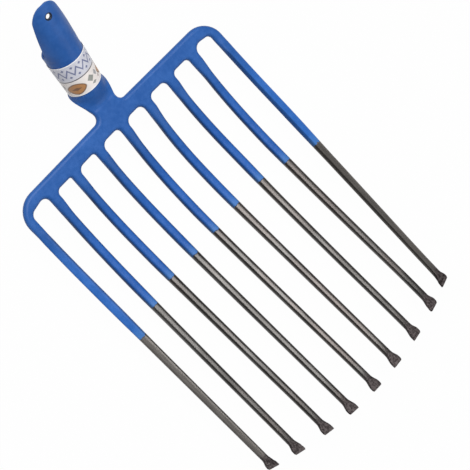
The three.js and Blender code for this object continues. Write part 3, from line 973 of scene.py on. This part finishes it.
class Finish:
    """A material in the making: adds nodes and joins them up."""

    def __init__(self, name):
        self.material = bpy.data.materials.new(name)
        self.material.use_nodes = True
        self.tree = self.material.node_tree
        self.shader = self.tree.nodes["Principled BSDF"]
        self.place = self.add("ShaderNodeTexCoord").outputs["Object"]

    def add(self, kind, feeds=(), **settings):
        node = self.tree.nodes.new(kind)
        for name, value in settings.items():
            setattr(node, name, value)
        for socket, value in dict(feeds).items():
            self.feed(node.inputs[socket], value)
        return node

    def feed(self, socket, value):
        if isinstance(value, bpy.types.NodeSocket):
            self.tree.links.new(value, socket)
        else:
            socket.default_value = value

    def mottle(self, size, detail=2, stretch=(1, 1, 1), hardness=0.5):
        """Soft spots of about this size in millimetres, drawn out along the axes given."""
        scale = [1 / (size * MM * part) for part in stretch]
        spread = self.add(
            "ShaderNodeVectorMath", {0: self.place, 1: scale}, operation="MULTIPLY"
        )
        noise = self.add(
            "ShaderNodeTexNoise",
            {"Vector": spread.outputs[0], "Scale": 1, "Detail": detail, "Roughness": hardness},
        )
        return noise.outputs["Fac"]

    def maths(self, operation, a, b=0.0, clamp=False):
        node = self.add("ShaderNodeMath", {0: a, 1: b}, operation=operation, use_clamp=clamp)
        return node.outputs[0]

    def wrap(self, value, low, high):
        """A value carried back into the stretch from low to high, over and over."""
        node = self.add("ShaderNodeMath", {0: value, 1: high, 2: low}, operation="WRAP")
        return node.outputs[0]

    def between(self, value, low, high, to_low=0, to_high=1):
        """A value's soft step from low to high."""
        node = self.add(
            "ShaderNodeMapRange",
            {0: value, 1: low, 2: high, 3: to_low, 4: to_high},
            interpolation_type="SMOOTHSTEP",
        )
        return node.outputs[0]

    def blend(self, share, a, b):
        """A colour that is this share of the way from a to b."""
        node = self.add("ShaderNodeMix", data_type="RGBA")
        self.feed(node.inputs[0], share)
        self.feed(node.inputs[6], (*a, 1) if isinstance(a, tuple) else a)
        self.feed(node.inputs[7], (*b, 1) if isinstance(b, tuple) else b)
        return node.outputs[2]

    def level(self, share, a, b):
        """A value that is this share of the way from a to b."""
        node = self.add("ShaderNodeMix", data_type="FLOAT")
        self.feed(node.inputs[0], share)
        self.feed(node.inputs[2], a)
        self.feed(node.inputs[3], b)
        return node.outputs[0]

    def scaled_by_channel(self, colour, painted_light):
        """A colour times another, channel by channel."""
        node = self.add("ShaderNodeVectorMath", {0: colour, 1: painted_light}, operation="MULTIPLY")
        return node.outputs[0]

    def dim(self, colour, shade):
        """A colour made darker or lighter as a whole."""
        node = self.add("ShaderNodeVectorMath", {0: colour, "Scale": shade}, operation="SCALE")
        return node.outputs[0]

    def kept(self, name):
        """A distance that was kept on the points of the mesh."""
        return self.add("ShaderNodeAttribute", attribute_name=name).outputs["Fac"]

    def raise_surface(self, height, deep):
        """Bump of a height, 0 to 1, that is this deep in millimetres."""
        node = self.add("ShaderNodeBump", {"Height": height, "Distance": deep * MM, "Strength": 1})
        return node.outputs[0]

    def set(self, **values):
        names = {
            "colour": "Base Color", "metal": "Metallic", "rough": "Roughness",
            "shine": "Specular IOR Level", "surface": "Normal",
        }
        for name, value in values.items():
            if isinstance(value, tuple):
                value = (*value, 1)
            self.feed(self.shader.inputs[names[name]], value)


def enamel_parts(finish):
    """Blue dipped enamel: its colour, roughness and surface height in millimetres."""
    broad = finish.mottle(26, 2)
    small = finish.mottle(5, 3)
    shade = finish.maths(
        "ADD", finish.maths("MULTIPLY", broad, 0.6), finish.maths("MULTIPLY", small, 0.4)
    )
    colour = finish.blend(finish.between(shade, 0.35, 0.65), ENAMEL_DEEP, ENAMEL_LIGHT)
    rough = finish.between(small, 0.3, 0.7, *ENAMEL_ROUGH)
    peel = finish.maths("MULTIPLY", finish.mottle(1.6, 1), PEEL_DEPTH)
    forged = finish.maths("MULTIPLY", finish.mottle(11, 2), FORGED_DEPTH)
    height = finish.maths("ADD", peel, forged)
    return colour, rough, height


def make_enamel():
    """The dipped enamel, with painted shade as a dark ring round the screw hole."""
    finish = Finish("blue_enamel_dipped")
    colour, rough, height = enamel_parts(finish)
    # Painted shade: the enamel darkens within about 5 mm of the screw hole's middle
    hole = finish.add(
        "ShaderNodeVectorMath",
        {0: finish.place, 1: SLOTS + on_axis(HOLE, socket_radius(HOLE)) * MM},
        operation="DISTANCE",
    )
    hole_shade = finish.between(hole.outputs["Value"], *PAINTED_SHADE_RING)
    finish.set(colour=finish.blend(hole_shade, colour, HOLE_PAINTED_SHADE), rough=rough, metal=0, shine=0.2)
    finish.set(surface=finish.raise_surface(height, 1))
    return finish.material


def forged_steel(finish, matte):
    """Forged steel under dark lacquer: its colour, roughness and surface height."""
    blade_end = finish.between(finish.kept("to_tip"), *BLADE_FINISH)
    worn = finish.mottle(26, 2, (1, 1.6, 1))
    streak = finish.mottle(2.6, 2, (1, 8, 1), 0.55)
    grain = finish.mottle(2, 3, (1, 1.3, 1), 0.6)
    tone = finish.between(finish.level(0.4, worn, streak), 0.38, 0.62)
    shaft = finish.blend(tone, STEEL_DARK, STEEL_LIGHT)
    brown = finish.between(finish.mottle(42, 2, (1, 1.5, 1)), 0.45, 0.65, 0, 0.6)
    shaft = finish.blend(brown, shaft, STEEL_BROWN)
    if matte:
        shaft = finish.blend(0.5, shaft, MATTE_STEEL)
    blade = finish.blend(finish.between(grain, 0.36, 0.64), BLADE_DARK, BLADE_LIGHT)
    smooth, dull = (rough + MATTE_MORE * matte for rough in STEEL_ROUGH)
    shaft_dents = finish.maths("MULTIPLY", streak, STREAK_DEPTH)
    blade_dents = finish.maths("MULTIPLY", grain, GRAIN_DEPTH)
    return (
        finish.blend(blade_end, shaft, blade),
        finish.level(blade_end, finish.between(streak, 0.35, 0.65, smooth, dull), BLADE_ROUGH),
        finish.level(blade_end, shaft_dents, blade_dents),
    )


def make_dipped_steel(name, matte):
    """Lacquered steel with its root end dipped in the blue enamel, with painted shade on the
    tines' upright sides and painted light on their enamel. matte is 1 for the outer tines'
    duller and lighter steel, and 0 for the others."""
    finish = Finish(name)
    seam = finish.kept("past_seam")
    past = finish.kept("past_paint")
    ragged = finish.maths("SUBTRACT", finish.mottle(4, 2), 0.5)
    ragged = finish.maths("MULTIPLY", ragged, RAGGED)
    bare = finish.between(finish.maths("ADD", past, ragged), -0.5, 0.5)
    colour, rough, height = enamel_parts(finish)
    # Painted light: the tines' enamel is made bluer, and on the outer tines lighter, than the
    # bar's
    painted_light_share = finish.between(seam, *PAINTED_LIGHT_START)
    painted_light = finish.blend(painted_light_share, (1.0, 1.0, 1.0), OUTER_PAINTED_LIGHT if matte else TINE_PAINTED_LIGHT)
    colour = finish.scaled_by_channel(colour, painted_light)
    # Painted highlight: the enamel turns halfway to a lighter blue over its last 16 mm
    colour = finish.blend(finish.between(past, *PAINTED_HIGHLIGHT_SPAN), colour, ENAMEL_PAINTED_HIGHLIGHT)
    steel, steel_rough, dents = forged_steel(finish, matte)
    coat_step = finish.maths("MULTIPLY", bare, COAT_STEP)
    height = finish.maths("ADD", finish.level(bare, height, dents), coat_step)
    # Painted shade: the tines' upright sides are coloured darker, the steel more than the enamel,
    # from a little below the seam
    side_shade = finish.level(bare, ENAMEL_PAINTED_SHADE[matte], STEEL_PAINTED_SHADE[matte])
    shade = finish.level(finish.between(finish.kept("painted_shade_facing"), 0.45, 1.0), side_shade, 1.0)
    shade = finish.level(finish.between(seam, *PAINTED_SHADE_START), 1.0, shade)
    finish.set(
        colour=finish.dim(finish.blend(bare, colour, steel), shade),
        rough=finish.level(bare, rough, steel_rough),
        metal=finish.level(bare, 0.0, 0.9),
        shine=0.22,
        surface=finish.raise_surface(height, 1),
    )
    return finish.material


def make_printed_film():
    """Pale film with a made-up print: a zigzag with dots, a ring, lenses and lozenges."""
    finish = Finish("pale_film_printed")
    uv = finish.add("ShaderNodeUVMap")
    split = finish.add("ShaderNodeSeparateXYZ", {0: uv.outputs[0]})
    around, up = split.outputs[0], split.outputs[1]

    def size_of(value):
        return finish.maths("ABSOLUTE", value)

    def above(level):
        return finish.maths("SUBTRACT", up, level)

    def band(low, high, soft=0.25):
        rising = finish.between(up, low - soft, low + soft)
        falling = finish.between(up, high + soft, high - soft)
        return finish.maths("MULTIPLY", rising, falling)

    def lozenges(pitch, shift, level, wide, tall, power=1.0):
        """A row of lozenges round the label, with fuller sides for a power above 1."""
        x = finish.wrap(finish.maths("ADD", around, shift), -pitch / 2, pitch / 2)
        x = finish.maths("DIVIDE", size_of(x), wide)
        y = finish.maths("DIVIDE", size_of(above(level)), tall)
        x, y = finish.maths("POWER", x, power), finish.maths("POWER", y, power)
        return finish.between(finish.maths("ADD", x, y), 1 + PRINT_SOFT, 1 - PRINT_SOFT)

    def zigzag(pitch, level, swing, thick, soft=0.4):
        """A zigzag line round the label, its middle at a level."""
        wave = finish.maths("PINGPONG", around, pitch / 2)
        wave = finish.maths("SUBTRACT", wave, pitch / 4)
        wave = finish.maths("MULTIPLY", wave, 4 * swing / pitch)
        off = size_of(above(finish.maths("ADD", wave, level)))
        return finish.between(off, thick / 2 + soft, thick / 2 - soft)

    paper = finish.blend(finish.between(up, *PAPER_CHANGE), PAPER_CREAM, PAPER_LAVENDER)
    colour = finish.blend(finish.maths("MULTIPLY", finish.mottle(9, 2), 0.4), paper, PAPER_WORN)
    line = zigzag(ZIGZAG_PITCH, ZIGZAG_LEVEL, ZIGZAG_SWING, ZIGZAG_THICK)
    colour = finish.blend(line, colour, INK)
    for shift, level in DOT_ROWS:
        colour = finish.blend(lozenges(ZIGZAG_PITCH, shift, level, *DOT), colour, INK)
    colour = finish.blend(band(*RING), colour, RING_INK)
    for shift, level, wide, tall, power, tone in PRINTS:
        shapes = lozenges(LENS_PITCH, shift, level, wide, tall, power)
        colour = finish.blend(shapes, colour, tone)
    rims = finish.between(up, *LOWER_RIM), finish.between(up, *UPPER_RIM)
    colour = finish.blend(finish.maths("MAXIMUM", *rims), colour, PAPER_EDGE)
    crease = finish.maths("MULTIPLY", finish.mottle(12, 2, (1, 1, 1.6)), CREASE_DEPTH)
    finish.set(
        colour=colour, rough=0.34, shine=0.4, surface=finish.raise_surface(crease, 1)
    )
    return finish.material


# ---------------------------------------------------------------- camera, floor and light

def put_camera():
    """The photograph's viewing angle: from above, a little from the left, turned by 46 degrees."""
    clear_selection()
    bpy.ops.object.camera_add(location=CAMERA)
    camera = bpy.context.active_object
    turn = Matrix((CAMERA_RIGHT, CAMERA_UP, CAMERA_BACK)).transposed()
    camera.rotation_euler = turn.to_euler()
    camera.data.sensor_width = SENSOR
    camera.data.lens = LENS
    camera.data.clip_end = SIGHT
    bpy.context.scene.camera = camera


def put_lamp(name, place, size, level):
    """A square soft lamp that faces the origin, as bright per area as its level."""
    clear_selection()
    bpy.ops.object.light_add(type="AREA", location=place)
    lamp = bpy.context.active_object
    lamp.name = name
    lamp.data.size = size
    lamp.data.energy = level * 4 * size**2
    lamp.rotation_euler = Vector(place).to_track_quat("Z", "Y").to_euler()
    lamp.visible_camera = False


def set_the_stage():
    """White floor that keeps a faint shadow, a big soft lamp above, a smaller one in front
    and a weak light from all round."""
    clear_selection()
    bpy.ops.mesh.primitive_plane_add(size=FLOOR_SIZE, location=(0, 0, FLOOR_LEVEL))
    floor = bpy.context.active_object
    floor.name = "floor"
    finish = Finish("white_floor")
    finish.set(colour=FLOOR_GREY, rough=0.9, shine=0)
    glow = finish.add("ShaderNodeEmission", {"Color": (1, 1, 1, 1), "Strength": 1})
    path = finish.add("ShaderNodeLightPath")
    seen = path.outputs["Is Camera Ray"]
    for kind in ("Is Glossy Ray", "Is Transmission Ray"):
        seen = finish.maths("ADD", seen, path.outputs[kind], clamp=True)
    seen = finish.maths("MULTIPLY", seen, FLOOR_WHITE)
    both = finish.add(
        "ShaderNodeMixShader", {0: seen, 1: finish.shader.outputs[0], 2: glow.outputs[0]}
    )
    out = finish.tree.nodes["Material Output"]
    finish.feed(out.inputs[0], both.outputs[0])
    floor.data.materials.append(finish.material)

    put_lamp("soft_lamp", LAMP, LAMP_SIZE, LAMP_LEVEL)
    put_lamp("front_lamp", FRONT_LAMP, FRONT_SIZE, FRONT_LEVEL)

    world = bpy.context.scene.world or bpy.data.worlds.new("fill")
    bpy.context.scene.world = world
    world.use_nodes = True
    sky = world.node_tree.nodes["Background"]
    sky.inputs["Strength"].default_value = FILL
    sky.inputs["Color"].default_value = (1, 1, 1, 1)
    bpy.context.scene.view_settings.view_transform = "Standard"


def deliver(piece, node, material):
    """Sets a finished piece down at its place, gives it its material, hides the imported part that
    it stands for and hangs it on the root body.
    """
    piece.location = SLOTS
    settle(piece)
    piece.data.materials.clear()
    piece.data.materials.append(material)
    take(piece)
    bpy.ops.object.shade_smooth_by_angle(angle=SMOOTH_BELOW)
    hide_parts(node)
    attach(piece, "root")


# ---------------------------------------------------------------- the work itself

put_camera()
set_the_stage()

enamel = make_enamel()
steel = make_dipped_steel("dark_lacquered_steel", 0)
matte_steel = make_dipped_steel("dark_lacquered_steel_matte", 1)
film = make_printed_film()

deliver(make_crossbar(), "crossbar", enamel)
for number in range(1, TINES + 1):
    material = matte_steel if number in (1, TINES) else steel
    deliver(make_tine(number), f"tine_{number}", material)
deliver(make_socket(), "socket", enamel)
deliver(make_label(), "sleeve", film)
